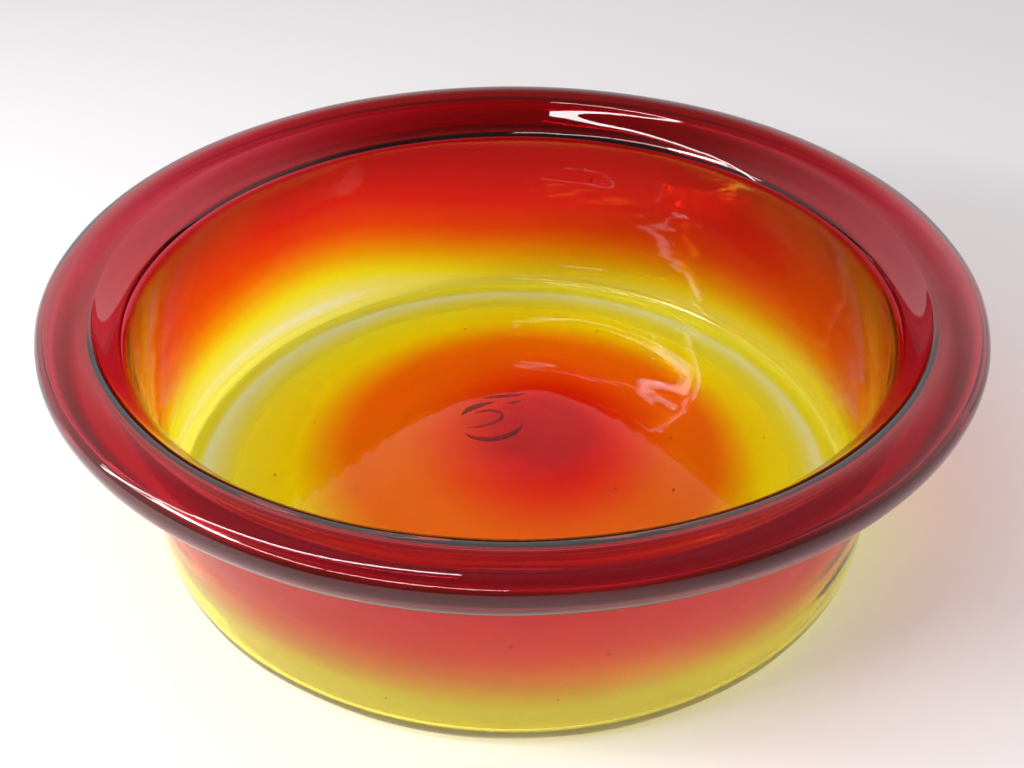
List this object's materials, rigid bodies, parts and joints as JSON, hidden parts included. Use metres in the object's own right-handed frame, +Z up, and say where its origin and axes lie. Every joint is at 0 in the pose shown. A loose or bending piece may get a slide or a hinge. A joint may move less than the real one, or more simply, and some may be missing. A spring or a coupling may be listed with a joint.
{
  "type": "art glass bowl",
  "caption": "Round blown glass bowl with a broad rolled rim, near-vertical wall, pushed-up floor and a pontil scar under the middle.",
  "frame": {"origin": "on the table under the middle of the bowl, in the plane of the foot ring", "axes": "+Z up along the bowl's axis; the bowl is round, so X and Y are alike except that the pontil scar lies a little towards -X and +Y"},
  "size_m": [0.356, 0.356, 0.1097],
  "materials": {
    "floor_glass": "gloss, yellow at the edge through orange to red in the middle",
    "wall_glass": "gloss, clear at the foot through yellow and orange to red at the top",
    "rim_glass": "gloss, deep ruby red",
    "scar_glass": "rough broken glass"
  },
  "bodies": {
    "root": {"bowl_floor": "floor_glass", "bowl_wall": "wall_glass", "rolled_rim": "rim_glass", "pontil_scar": "scar_glass"}
  },
  "joints": []
}
